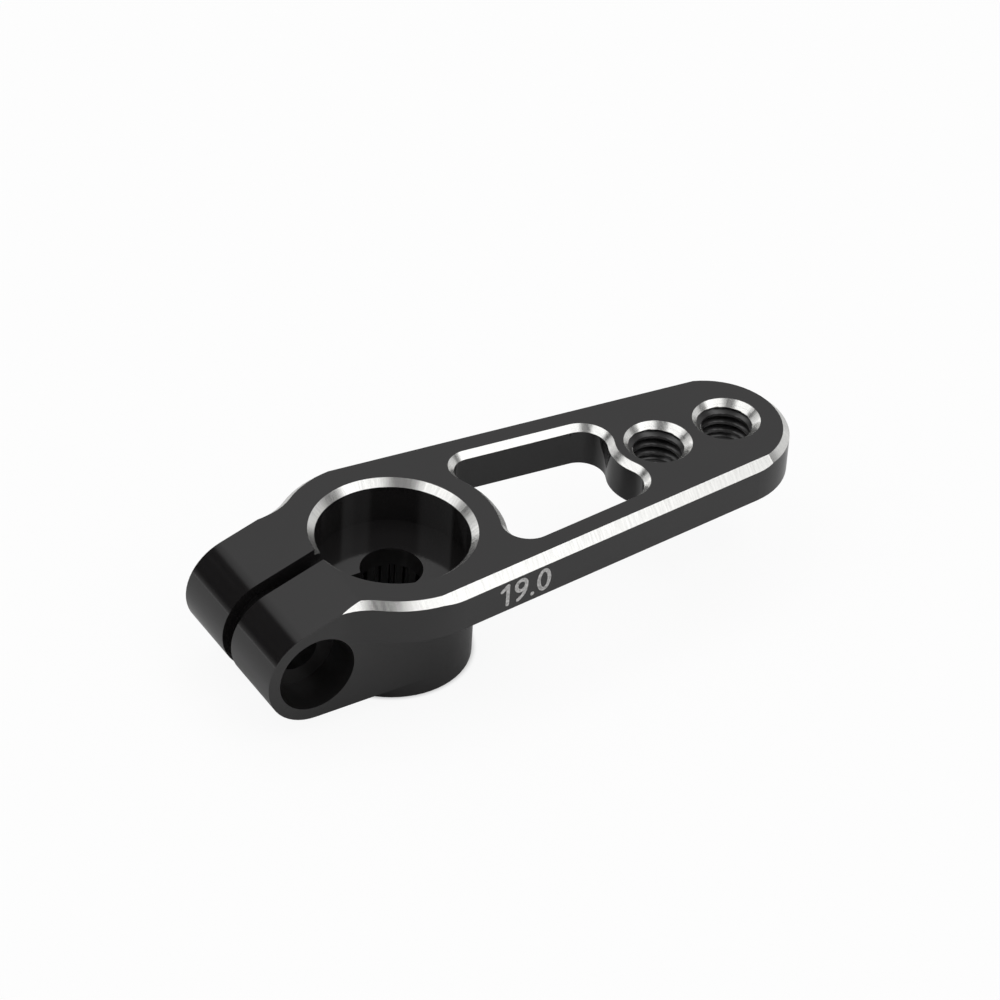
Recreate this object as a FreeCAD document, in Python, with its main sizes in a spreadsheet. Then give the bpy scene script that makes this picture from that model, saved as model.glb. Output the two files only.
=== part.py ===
import FreeCAD, Part
import math
import os
import Sketcher

# A one-piece aluminium servo horn: a splined clamping boss with one slotted arm.
# Origin: bore axis at the bottom face of the boss. +X runs along the arm, +Z is up.
# All lengths are in millimetres.

os.makedirs("parts", exist_ok=True)
doc = FreeCAD.newDocument("horn")

# Named sizes
SIZES = {
    "total_height": 7.0,
    "arm_thickness": 2.2,
    "outline_chamfer": 0.34,
    "side_chamfer": 0.44,
    "window_chamfer": 0.31,
    "hub_radius": 5.75,
    "tip_radius": 3.93,
    "tip_setback": 0.94,
    "hub_fillet": 3.0,
    "boss_radius": 4.05,
    "clamp_end_radius": 2.61,
    "clamp_screw_reach": 6.34,
    "clamp_level_ratio": 0.503,
    "slit_width": 0.85,
    "recess_radius": 3.75,
    "recess_depth": 2.35,
    "recess_chamfer": 0.34,
    "web_thickness": 1.0,
    "output_screw_radius": 1.5,
    "output_screw_clearance": 0.03,
    "spline_tip_radius": 2.75,
    "spline_root_radius": 2.96,
    "spline_teeth": 25,
    "tooth_gap_mouth": 0.4,
    "tooth_gap_root": 0.18,
    "window_hub_radius": 5.5,
    "rib_width": 1.69,
    "window_hub_corner": 1.0,
    "window_tip_corner": 1.25,
    "window_nose_radius": 2.45,
    "inner_hole_reach": 15.0,
    "hole_spacing": 4.0,
    "arm_thread_radius": 1.5,
    "arm_thread_chamfer": 0.2,
    "clamp_head_radius": 1.9,
    "clamp_head_clearance": 0.1,
    "clamp_head_depth": 2.0,
    "clamp_thread_radius": 1.0,
    "clamp_thread_clearance": 0.1,
    "tooth_overlap": 0.1,
    "cut_margin": 1.0,
}

sheet = doc.addObject("Spreadsheet::Sheet", "sizes")
for row, (alias, value) in enumerate(SIZES.items(), start=1):
    sheet.set("A%d" % row, alias)
    sheet.set("B%d" % row, str(value))
    sheet.setAlias("B%d" % row, alias)
doc.recompute()


def size(alias):
    """Current value of a named size."""
    return float(sheet.get(alias))


# Places that follow from other sizes
OUTER_HOLE = "sizes.inner_hole_reach + sizes.hole_spacing"
TIP_CENTRE = OUTER_HOLE + " - sizes.tip_setback"
CLAMP_AXIS = "sizes.total_height * sizes.clamp_level_ratio"
CLAMP_END = "sizes.clamp_screw_reach + sizes.clamp_end_radius"
ARM_UNDERSIDE = "sizes.total_height - sizes.arm_thickness"
ARM_TAPER = "asin((sizes.hub_radius - sizes.tip_radius) / (" + TIP_CENTRE + "))"
SPLINE_DEPTH = "sizes.total_height - sizes.recess_depth - sizes.web_thickness"

body = doc.addObject("PartDesign::Body", "Horn")
body.Label = "servo_horn"
doc.recompute()


def origin_feature(role):
    """Origin plane or axis of the body by its role."""
    return [item for item in body.Origin.OriginFeatures if item.Role == role][0]


def new_sketch(name, role, offset):
    """Sketch on an origin plane, lifted along the plane's normal by an expression."""
    sketch = body.newObject("Sketcher::SketchObject", name)
    sketch.AttachmentSupport = (origin_feature(role), [""])
    sketch.MapMode = "FlatFace"
    if offset:
        sketch.setExpression("AttachmentOffset.Base.z", offset)
    return sketch


def point(x, y):
    return FreeCAD.Vector(x, y, 0)


def add_line(sketch, start, end):
    return sketch.addGeometry(Part.LineSegment(point(*start), point(*end)), False)


def add_arc(sketch, centre, radius, start, end):
    """Arc that runs anticlockwise from the angle start to the angle end, in radians."""
    circle = Part.Circle(point(*centre), FreeCAD.Vector(0, 0, 1), radius)
    return sketch.addGeometry(Part.ArcOfCircle(circle, start, end), False)


def add_circle(sketch, centre, radius):
    circle = Part.Circle(point(*centre), FreeCAD.Vector(0, 0, 1), radius)
    return sketch.addGeometry(circle, False)


def rule(sketch, expression, kind, *args):
    """Add a dimension and bind it to an expression of the named sizes."""
    index = sketch.addConstraint(Sketcher.Constraint(kind, *args))
    sketch.setExpression("Constraints[%d]" % index, expression)
    return index


def tie(sketch, kind, *args):
    """Add a constraint without a value."""
    return sketch.addConstraint(Sketcher.Constraint(kind, *args))


def tangent_direction(centre, point_from, radius, turn):
    """Unit direction of the line from a point that touches a circle, on the side of turn."""
    dx = centre[0] - point_from[0]
    dy = centre[1] - point_from[1]
    gap = math.hypot(dx, dy)
    angle = math.atan2(dy, dx) + turn * math.asin(radius / gap)
    return math.cos(angle), math.sin(angle), math.sqrt(gap * gap - radius * radius)


def pad(name, sketch, length, symmetric=False):
    feature = body.newObject("PartDesign::Pad", name)
    feature.Profile = sketch
    feature.setExpression("Length", length)
    if symmetric:
        feature.SideType = "Symmetric"
    sketch.Visibility = False
    doc.recompute()
    return feature


def pocket(name, sketch, length=None, symmetric=False, reverse=False):
    """Cut a sketch away. Without a length it cuts through everything."""
    before = body.Tip.Shape.Volume
    feature = body.newObject("PartDesign::Pocket", name)
    feature.Profile = sketch
    feature.Reversed = reverse
    if symmetric:
        feature.SideType = "Symmetric"
    if length:
        feature.setExpression("Length", length)
    else:
        feature.Type = "ThroughAll"
    sketch.Visibility = False
    doc.recompute()
    if feature.Shape.isNull() or not feature.Shape.Volume < before - 0.001:
        raise RuntimeError(name + " removed nothing")
    return feature


def chamfer(name, base, test, amount):
    """Chamfer those edges of a feature for which test is true."""
    names = []
    for number, edge in enumerate(base.Shape.Edges, start=1):
        if test(edge):
            names.append("Edge%d" % number)
    if not names:
        raise RuntimeError(name + " found no edge")
    feature = body.newObject("PartDesign::Chamfer", name)
    feature.Base = (base, names)
    feature.setExpression("Size", amount)
    base.Visibility = False
    doc.recompute()
    return feature


# Plate outline: tapered arm, hub, and the tongue over the clamp block
sketch = new_sketch("PlateOutline", "XY_Plane", ARM_UNDERSIDE)
hub = size("hub_radius")
tip = size("tip_radius")
outer_hole = size("inner_hole_reach") + size("hole_spacing")
reach = outer_hole - size("tip_setback")
half = size("boss_radius")
margin = size("cut_margin")
fillet = size("hub_fillet")
end = size("clamp_screw_reach") + size("clamp_end_radius")
side_angle = math.acos((hub - tip) / reach)
corner = (-math.sqrt((hub + fillet) ** 2 - (half + fillet) ** 2), half + fillet)
corner_angle = math.atan2(corner[1], corner[0])


def at(centre, radius, angle):
    return centre[0] + radius * math.cos(angle), centre[1] + radius * math.sin(angle)


g_tip = add_arc(sketch, (reach, 0), tip, -side_angle, side_angle)
g_side_a = add_line(sketch, at((reach, 0), tip, side_angle), at((0, 0), hub, side_angle))
g_hub_a = add_arc(sketch, (0, 0), hub, side_angle, corner_angle)
g_fil_a = add_arc(sketch, corner, fillet, -math.pi / 2, corner_angle - math.pi)
g_flat_a = add_line(sketch, (corner[0], half), (-end, half))
g_end = add_line(sketch, (-end, half), (-end, -half))
g_flat_b = add_line(sketch, (-end, -half), (corner[0], -half))
g_fil_b = add_arc(sketch, (corner[0], -corner[1]), fillet, math.pi - corner_angle, math.pi / 2)
g_hub_b = add_arc(sketch, (0, 0), hub, -corner_angle, -side_angle)
g_side_b = add_line(sketch, at((0, 0), hub, -side_angle), at((reach, 0), tip, -side_angle))
tie(sketch, "Tangent", g_tip, 2, g_side_a, 1)
tie(sketch, "Tangent", g_side_a, 2, g_hub_a, 1)
tie(sketch, "Tangent", g_hub_a, 2, g_fil_a, 2)
tie(sketch, "Tangent", g_fil_a, 1, g_flat_a, 1)
tie(sketch, "Coincident", g_flat_a, 2, g_end, 1)
tie(sketch, "Coincident", g_end, 2, g_flat_b, 1)
tie(sketch, "Tangent", g_flat_b, 2, g_fil_b, 2)
tie(sketch, "Tangent", g_fil_b, 1, g_hub_b, 1)
tie(sketch, "Tangent", g_hub_b, 2, g_side_b, 1)
tie(sketch, "Tangent", g_side_b, 2, g_tip, 1)
tie(sketch, "PointOnObject", g_tip, 3, -1)
tie(sketch, "Coincident", g_hub_a, 3, -1, 1)
tie(sketch, "Coincident", g_hub_b, 3, -1, 1)
tie(sketch, "Horizontal", g_flat_a)
tie(sketch, "Horizontal", g_flat_b)
tie(sketch, "Vertical", g_end)
rule(sketch, TIP_CENTRE, "DistanceX", -1, 1, g_tip, 3, reach)
rule(sketch, "sizes.tip_radius", "Radius", g_tip, tip)
rule(sketch, "sizes.hub_radius", "Radius", g_hub_a, hub)
rule(sketch, "sizes.hub_radius", "Radius", g_hub_b, hub)
rule(sketch, "sizes.hub_fillet", "Radius", g_fil_a, fillet)
rule(sketch, "sizes.hub_fillet", "Radius", g_fil_b, fillet)
rule(sketch, "sizes.boss_radius", "DistanceY", -1, 1, g_flat_a, 2, half)
rule(sketch, "sizes.boss_radius", "DistanceY", g_flat_b, 1, -1, 1, half)
rule(sketch, CLAMP_END, "DistanceX", g_end, 1, -1, 1, end)
plate = pad("Plate", sketch, "sizes.arm_thickness")

# Window in the arm: round about the bore at one end, wrapped round the inner hole at the other
sketch = new_sketch("WindowOutline", "XY_Plane", "sizes.total_height")
rib = size("rib_width")
near = size("window_hub_radius")
near_corner = size("window_hub_corner")
far_corner = size("window_tip_corner")
nose = size("window_nose_radius")
hole = size("inner_hole_reach")


def centre_beside(pole, spacing, corner_radius, sense):
    """Centre at a spacing from a pole on the X axis, a corner radius inside the rib's wall."""
    level = hub - rib - corner_radius
    normal = (math.cos(side_angle), math.sin(side_angle))
    offset = level - normal[0] * pole
    along = sense * math.sqrt(spacing * spacing - offset * offset)
    return (pole + offset * normal[0] + along * normal[1], offset * normal[1] - along * normal[0])


corner_a = centre_beside(0, near + near_corner, near_corner, 1)
corner_b = centre_beside(hole, nose + far_corner, far_corner, -1)
a_angle = math.atan2(corner_a[1], corner_a[0])
b_angle = math.atan2(corner_b[1], corner_b[0] - hole)
w_near = add_arc(sketch, (0, 0), near, -a_angle, a_angle)
w_corner_a = add_arc(sketch, corner_a, near_corner, side_angle, a_angle + math.pi)
w_side_a = add_line(sketch, at(corner_a, near_corner, side_angle), at(corner_b, far_corner, side_angle))
w_corner_b = add_arc(sketch, corner_b, far_corner, b_angle - math.pi, side_angle)
w_nose = add_arc(sketch, (hole, 0), nose, b_angle, 2 * math.pi - b_angle)
w_corner_c = add_arc(sketch, (corner_b[0], -corner_b[1]), far_corner, -side_angle, math.pi - b_angle)
w_side_b = add_line(
    sketch,
    at((corner_b[0], -corner_b[1]), far_corner, -side_angle),
    at((corner_a[0], -corner_a[1]), near_corner, -side_angle),
)
w_corner_d = add_arc(
    sketch, (corner_a[0], -corner_a[1]), near_corner, math.pi - a_angle, 2 * math.pi - side_angle
)
w_pole = sketch.addGeometry(Part.Point(point(reach, 0)), True)
tie(sketch, "Tangent", w_near, 2, w_corner_a, 2)
tie(sketch, "Tangent", w_corner_a, 1, w_side_a, 1)
tie(sketch, "Tangent", w_side_a, 2, w_corner_b, 2)
tie(sketch, "Tangent", w_corner_b, 1, w_nose, 1)
tie(sketch, "Tangent", w_nose, 2, w_corner_c, 2)
tie(sketch, "Tangent", w_corner_c, 1, w_side_b, 1)
tie(sketch, "Tangent", w_side_b, 2, w_corner_d, 2)
tie(sketch, "Tangent", w_corner_d, 1, w_near, 1)
tie(sketch, "Coincident", w_near, 3, -1, 1)
tie(sketch, "PointOnObject", w_nose, 3, -1)
tie(sketch, "PointOnObject", w_pole, 1, -1)
rule(sketch, "sizes.inner_hole_reach", "DistanceX", -1, 1, w_nose, 3, hole)
rule(sketch, TIP_CENTRE, "DistanceX", -1, 1, w_pole, 1, reach)
rule(sketch, "sizes.window_hub_radius", "Radius", w_near, near)
rule(sketch, "sizes.window_hub_corner", "Radius", w_corner_a, near_corner)
rule(sketch, "sizes.window_hub_corner", "Radius", w_corner_d, near_corner)
rule(sketch, "sizes.window_tip_corner", "Radius", w_corner_b, far_corner)
rule(sketch, "sizes.window_tip_corner", "Radius", w_corner_c, far_corner)
rule(sketch, "sizes.window_nose_radius", "Radius", w_nose, nose)
rule(sketch, "sizes.hub_radius - sizes.rib_width", "Distance", -1, 1, w_side_a, hub - rib)
rule(sketch, "sizes.hub_radius - sizes.rib_width", "Distance", -1, 1, w_side_b, hub - rib)
rule(sketch, "sizes.tip_radius - sizes.rib_width", "Distance", w_pole, 1, w_side_a, tip - rib)
rule(sketch, "sizes.tip_radius - sizes.rib_width", "Distance", w_pole, 1, w_side_b, tip - rib)
window = pocket("Window", sketch)

# Bright-cut chamfers round the top of the plate and, a little smaller, round its window
top = size("total_height")


def is_window_edge(edge):
    """Edges of the top face that lie wholly between the hub's centre and the inner hole's."""
    box = edge.BoundBox
    if box.ZMin < top - 0.001:
        return False
    return box.XMin > 0 and box.XMax < size("inner_hole_reach")


def is_outline_edge(edge):
    """The top face's other edges, but for the far end of the tongue, which is cut off later."""
    box = edge.BoundBox
    if box.ZMin < top - 0.001 or is_window_edge(edge):
        return False
    return box.XMax > -end + 0.001


outlined = chamfer("OutlineChamfer", window, is_outline_edge, "sizes.outline_chamfer")
edged = chamfer("WindowChamfer", outlined, is_window_edge, "sizes.window_chamfer")


def bevel_side(name, turn, turned):
    """Widen the chamfer along one straight side of the arm with a plane cut at 45 degrees.

    The cut's sketch stands across that side. The cut runs out on the round ends by itself.
    """
    sketch = new_sketch(name + "Profile", "YZ_Plane", "")
    rotation = FreeCAD.Rotation(FreeCAD.Vector(0, -1, 0), turned)
    sketch.AttachmentOffset = FreeCAD.Placement(FreeCAD.Vector(0, 0, 0), rotation)
    sketch.setExpression("AttachmentOffset.Rotation.Angle", turn)
    depth = "sizes.side_chamfer + sizes.cut_margin"
    near = hub - size("side_chamfer") - margin
    under = top - size("side_chamfer") - margin
    s_bevel = add_line(sketch, (near, top + margin), (hub + margin, under))
    s_outer = add_line(sketch, (hub + margin, under), (hub + margin, top + margin))
    s_lid = add_line(sketch, (hub + margin, top + margin), (near, top + margin))
    tie(sketch, "Coincident", s_bevel, 2, s_outer, 1)
    tie(sketch, "Coincident", s_outer, 2, s_lid, 1)
    tie(sketch, "Coincident", s_lid, 2, s_bevel, 1)
    tie(sketch, "Vertical", s_outer)
    tie(sketch, "Horizontal", s_lid)
    rule(sketch, "sizes.hub_radius + sizes.cut_margin", "DistanceX", -1, 1, s_outer, 1, hub + margin)
    rule(sketch, "sizes.total_height + sizes.cut_margin", "DistanceY", -1, 1, s_outer, 2, top + margin)
    rule(sketch, "sizes.hub_radius - (" + depth + ")", "DistanceX", -1, 1, s_bevel, 1, near)
    rule(sketch, "sizes.total_height - (" + depth + ")", "DistanceY", -1, 1, s_bevel, 2, under)
    return pocket(name, sketch, "3 * (" + TIP_CENTRE + ")", symmetric=True)


taper = 90 - math.degrees(side_angle)
bevel_side("LeftBevel", ARM_TAPER, taper)
bevel_side("RightBevel", "180 deg - " + ARM_TAPER, 180 - taper)

# Boss round the spline
sketch = new_sketch("BossOutline", "XY_Plane", "")
g_boss = add_circle(sketch, (0, 0), half)
tie(sketch, "Coincident", g_boss, 3, -1, 1)
rule(sketch, "sizes.boss_radius", "Radius", g_boss, half)
boss = pad("Boss", sketch, ARM_UNDERSIDE)

# Clamp block, as wide as the boss, with a round end about the clamp screw
sketch = new_sketch("BlockProfile", "XZ_Plane", "")
centre = (-size("clamp_screw_reach"), size("total_height") * size("clamp_level_ratio"))
round_end = size("clamp_end_radius")
seam = top - size("arm_thickness")
seam_angle = math.pi - math.asin((seam - centre[1]) / round_end)
seam_point = at(centre, round_end, seam_angle)
low = centre[1] - round_end
b_bottom = add_line(sketch, (0, low), (centre[0], low))
b_arc = add_arc(sketch, centre, round_end, seam_angle, 1.5 * math.pi)
b_top = add_line(sketch, seam_point, (0, seam))
b_back = add_line(sketch, (0, seam), (0, low))
tie(sketch, "Tangent", b_bottom, 2, b_arc, 2)
tie(sketch, "Coincident", b_arc, 1, b_top, 1)
tie(sketch, "Coincident", b_top, 2, b_back, 1)
tie(sketch, "Coincident", b_back, 2, b_bottom, 1)
tie(sketch, "Horizontal", b_bottom)
tie(sketch, "Horizontal", b_top)
tie(sketch, "PointOnObject", b_top, 2, -2)
tie(sketch, "Vertical", b_back)
rule(sketch, "sizes.clamp_screw_reach", "DistanceX", b_arc, 3, -1, 1, -centre[0])
rule(sketch, CLAMP_AXIS, "DistanceY", -1, 1, b_arc, 3, centre[1])
rule(sketch, "sizes.clamp_end_radius", "Radius", b_arc, round_end)
rule(sketch, ARM_UNDERSIDE, "DistanceY", -1, 1, b_top, 2, seam)
block = pad("ClampBlock", sketch, "2 * sizes.boss_radius", symmetric=True)

# Round recess above the output screw
sketch = new_sketch("RecessOutline", "XY_Plane", "sizes.total_height")
g_recess = add_circle(sketch, (0, 0), size("recess_radius"))
tie(sketch, "Coincident", g_recess, 3, -1, 1)
rule(sketch, "sizes.recess_radius", "Radius", g_recess, size("recess_radius"))
recess = pocket("Recess", sketch, "sizes.recess_depth")


def is_recess_rim(edge):
    box = edge.BoundBox
    return box.ZMin > top - 0.001 and abs(box.XMax - size("recess_radius")) < 0.001


rim = chamfer("RecessChamfer", recess, is_recess_rim, "sizes.recess_chamfer")

# The clamp's top slopes from above the boss wall down to the round end
sketch = new_sketch("SlopeProfile", "XZ_Plane", "")
crease = (-half, top)
dir_x, dir_z, run = tangent_direction(centre, crease, round_end, -1)
touch = (crease[0] + dir_x * run, crease[1] + dir_z * run)
touch_angle = math.atan2(touch[1] - centre[1], touch[0] - centre[0])
s_slope = add_line(sketch, crease, touch)
s_arc = add_arc(sketch, centre, round_end, touch_angle, seam_angle)
s_floor = add_line(sketch, seam_point, (-end - margin, seam))
s_left = add_line(sketch, (-end - margin, seam), (-end - margin, top + margin))
s_lid = add_line(sketch, (-end - margin, top + margin), (-half, top + margin))
s_right = add_line(sketch, (-half, top + margin), crease)
tie(sketch, "Tangent", s_slope, 2, s_arc, 1)
tie(sketch, "Coincident", s_arc, 2, s_floor, 1)
tie(sketch, "Coincident", s_floor, 2, s_left, 1)
tie(sketch, "Coincident", s_left, 2, s_lid, 1)
tie(sketch, "Coincident", s_lid, 2, s_right, 1)
tie(sketch, "Coincident", s_right, 2, s_slope, 1)
tie(sketch, "Horizontal", s_floor)
tie(sketch, "Vertical", s_left)
tie(sketch, "Horizontal", s_lid)
tie(sketch, "Vertical", s_right)
rule(sketch, "sizes.boss_radius", "DistanceX", s_slope, 1, -1, 1, half)
rule(sketch, "sizes.total_height", "DistanceY", -1, 1, s_slope, 1, top)
rule(sketch, "sizes.clamp_screw_reach", "DistanceX", s_arc, 3, -1, 1, -centre[0])
rule(sketch, CLAMP_AXIS, "DistanceY", -1, 1, s_arc, 3, centre[1])
rule(sketch, "sizes.clamp_end_radius", "Radius", s_arc, round_end)
rule(sketch, ARM_UNDERSIDE, "DistanceY", -1, 1, s_floor, 1, seam)
rule(sketch, "sizes.cut_margin", "DistanceY", s_right, 2, s_right, 1, margin)
rule(sketch, CLAMP_END + " + sizes.cut_margin", "DistanceX", s_left, 1, -1, 1, end + margin)
slope = pocket("SlopeCut", sketch, symmetric=True)

# Hole for the output screw through the web
sketch = new_sketch("OutputScrewOutline", "XY_Plane", "sizes.total_height")
screw = size("output_screw_radius") + size("output_screw_clearance")
g_screw = add_circle(sketch, (0, 0), screw)
tie(sketch, "Coincident", g_screw, 3, -1, 1)
rule(sketch, "sizes.output_screw_radius + sizes.output_screw_clearance", "Radius", g_screw, screw)
screw_hole = pocket("OutputScrewHole", sketch)

# Spline bore from below, first to the tips of its teeth
sketch = new_sketch("SplineTipOutline", "XY_Plane", "")
g_tips = add_circle(sketch, (0, 0), size("spline_tip_radius"))
tie(sketch, "Coincident", g_tips, 3, -1, 1)
rule(sketch, "sizes.spline_tip_radius", "Radius", g_tips, size("spline_tip_radius"))
spline_bore = pocket("SplineBore", sketch, SPLINE_DEPTH, reverse=True)

# One gap between two spline teeth, and its turns about the bore
sketch = new_sketch("ToothGapOutline", "XY_Plane", "")
inside = size("spline_tip_radius") - size("tooth_overlap")
root = size("spline_root_radius")
mouth = size("tooth_gap_mouth") / 2
floor = size("tooth_gap_root") / 2
t_in = add_line(sketch, (inside, -mouth), (inside, mouth))
t_up = add_line(sketch, (inside, mouth), (root, floor))
t_out = add_line(sketch, (root, floor), (root, -floor))
t_down = add_line(sketch, (root, -floor), (inside, -mouth))
tie(sketch, "Coincident", t_in, 2, t_up, 1)
tie(sketch, "Coincident", t_up, 2, t_out, 1)
tie(sketch, "Coincident", t_out, 2, t_down, 1)
tie(sketch, "Coincident", t_down, 2, t_in, 1)
tie(sketch, "Symmetric", t_in, 1, t_in, 2, -1)
tie(sketch, "Symmetric", t_out, 1, t_out, 2, -1)
rule(sketch, "sizes.tooth_gap_mouth", "DistanceY", t_in, 1, t_in, 2, 2 * mouth)
rule(sketch, "sizes.tooth_gap_root", "DistanceY", t_out, 2, t_out, 1, 2 * floor)
rule(sketch, "sizes.spline_tip_radius - sizes.tooth_overlap", "DistanceX", -1, 1, t_in, 1, inside)
rule(sketch, "sizes.spline_root_radius", "DistanceX", -1, 1, t_out, 1, root)
tooth_gap = pocket("ToothGap", sketch, SPLINE_DEPTH, reverse=True)
teeth = body.newObject("PartDesign::PolarPattern", "SplineTeeth")
teeth.Originals = [tooth_gap]
teeth.Axis = (origin_feature("Z_Axis"), [""])
teeth.Angle = 360
teeth.setExpression("Occurrences", "sizes.spline_teeth")
tooth_gap.Visibility = False
body.Tip = teeth
doc.recompute()

# Two holes for linkage screws near the tip, wide as their thread, with chamfered mouths
sketch = new_sketch("ArmHoleOutline", "XY_Plane", "sizes.total_height")
thread = size("arm_thread_radius")
h_inner = add_circle(sketch, (hole, 0), thread)
h_outer = add_circle(sketch, (outer_hole, 0), thread)
tie(sketch, "PointOnObject", h_inner, 3, -1)
tie(sketch, "PointOnObject", h_outer, 3, -1)
tie(sketch, "Equal", h_inner, h_outer)
rule(sketch, "sizes.arm_thread_radius", "Radius", h_inner, thread)
rule(sketch, "sizes.inner_hole_reach", "DistanceX", -1, 1, h_inner, 3, hole)
rule(sketch, OUTER_HOLE, "DistanceX", -1, 1, h_outer, 3, outer_hole)
arm_holes = pocket("ArmHoles", sketch)


def is_arm_hole_mouth(edge):
    box = edge.BoundBox
    return box.ZMin > top - 0.001 and abs(box.YMax - thread) < 0.001 and box.XMin > hole - thread - 0.001


mouths = chamfer("ArmHoleChamfer", arm_holes, is_arm_hole_mouth, "sizes.arm_thread_chamfer")

# Slit that lets the clamp close on the spline
sketch = new_sketch("SlitOutline", "XY_Plane", "")
slit = size("slit_width") / 2
start = size("output_screw_radius") / 2
l_a = add_line(sketch, (-start, slit), (-end - margin, slit))
l_b = add_line(sketch, (-end - margin, slit), (-end - margin, -slit))
l_c = add_line(sketch, (-end - margin, -slit), (-start, -slit))
l_d = add_line(sketch, (-start, -slit), (-start, slit))
tie(sketch, "Coincident", l_a, 2, l_b, 1)
tie(sketch, "Coincident", l_b, 2, l_c, 1)
tie(sketch, "Coincident", l_c, 2, l_d, 1)
tie(sketch, "Coincident", l_d, 2, l_a, 1)
tie(sketch, "Horizontal", l_a)
tie(sketch, "Vertical", l_d)
tie(sketch, "Symmetric", l_a, 2, l_b, 2, -1)
tie(sketch, "Horizontal", l_c)
rule(sketch, "sizes.slit_width", "DistanceY", l_b, 2, l_b, 1, 2 * slit)
rule(sketch, "sizes.output_screw_radius / 2", "DistanceX", l_a, 1, -1, 1, start)
rule(sketch, CLAMP_END + " + sizes.cut_margin", "DistanceX", l_b, 1, -1, 1, end + margin)
slit_cut = pocket("Slit", sketch, symmetric=True)


def clamp_bore(name, offset, radius_expression, radius, length):
    """Round cut about the clamp screw's axis, from a plane across the clamp towards the rear."""
    outline = new_sketch(name + "Outline", "XZ_Plane", offset)
    ring = add_circle(outline, centre, radius)
    rule(outline, radius_expression, "Radius", ring, radius)
    rule(outline, "sizes.clamp_screw_reach", "DistanceX", ring, 3, -1, 1, -centre[0])
    rule(outline, CLAMP_AXIS, "DistanceY", -1, 1, ring, 3, centre[1])
    return pocket(name, outline, length)


# Clamp screw: head recess in the front ear, clearance behind it, thread in the rear ear
clamp_bore(
    "ClampHeadRecess",
    "sizes.boss_radius + sizes.cut_margin",
    "sizes.clamp_head_radius + sizes.clamp_head_clearance",
    size("clamp_head_radius") + size("clamp_head_clearance"),
    "sizes.clamp_head_depth + sizes.cut_margin",
)
clamp_bore(
    "ClampClearanceHole",
    "sizes.boss_radius",
    "sizes.clamp_thread_radius + sizes.clamp_thread_clearance",
    size("clamp_thread_radius") + size("clamp_thread_clearance"),
    "sizes.boss_radius",
)
clamp_bore(
    "ClampThreadHole",
    "0",
    "sizes.clamp_thread_radius",
    size("clamp_thread_radius"),
    "sizes.boss_radius + sizes.cut_margin",
)

doc.recompute()

# Every feature has to be sound before the part is written
for item in doc.Objects:
    if "Invalid" in item.State or "Error" in item.State:
        raise RuntimeError(item.Name + " is " + ", ".join(item.State))
    if item.isDerivedFrom("Sketcher::SketchObject") and not item.FullyConstrained:
        raise RuntimeError(item.Name + " isn't fully constrained")
shape = body.Shape
if shape.isNull() or not shape.isValid() or len(shape.Solids) != 1:
    raise RuntimeError("the horn isn't one sound solid")
solid = shape.Solids[0]
solid.exportStep(os.path.join("parts", body.Label + ".step"))
box = solid.BoundBox
print(body.Label, round(solid.Volume, 2), "mm3", [round(v, 3) for v in (box.XLength, box.YLength, box.ZLength)])
print("centre of mass", [round(v, 3) for v in solid.CenterOfMass])
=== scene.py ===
"""A splined servo horn of black anodised aluminium with bright-cut chamfers, in a pale studio.

The horn's own solid comes packed. This script gives it its finish, taps its three threaded holes,
marks its arm, and adds the floor, the light and the camera. All lengths in the classes are in
millimetres unless their names say otherwise, and every mesh is made in metres in the horn's frame.
"""

import logging
import math
from dataclasses import dataclass, field
from enum import Enum

import bpy
import numpy as np
from mathutils import Matrix, Vector


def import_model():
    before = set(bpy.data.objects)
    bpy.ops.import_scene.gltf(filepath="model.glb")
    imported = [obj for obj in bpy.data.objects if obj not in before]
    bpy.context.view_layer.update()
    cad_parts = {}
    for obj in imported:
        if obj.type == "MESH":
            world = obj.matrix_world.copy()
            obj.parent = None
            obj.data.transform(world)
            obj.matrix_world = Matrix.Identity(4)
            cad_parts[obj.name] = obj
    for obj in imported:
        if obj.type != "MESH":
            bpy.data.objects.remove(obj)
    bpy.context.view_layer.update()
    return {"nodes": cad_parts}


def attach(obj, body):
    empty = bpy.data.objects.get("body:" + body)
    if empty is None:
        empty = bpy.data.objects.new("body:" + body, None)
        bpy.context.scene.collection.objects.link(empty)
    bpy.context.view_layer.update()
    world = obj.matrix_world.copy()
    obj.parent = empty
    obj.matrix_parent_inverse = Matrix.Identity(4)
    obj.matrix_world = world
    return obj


MM = 0.001
HORN_NODE = "servo_horn"

log = logging.getLogger("servo_horn")


class Axis(Enum):
    """The direction that a hole runs in."""

    UP = "up"
    BACK = "back"


class SplitEdges(Enum):
    """The angle in degrees past which two faces of a piece keep a crisp edge."""

    CRISP = 28.0
    SOFT = 60.0


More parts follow.
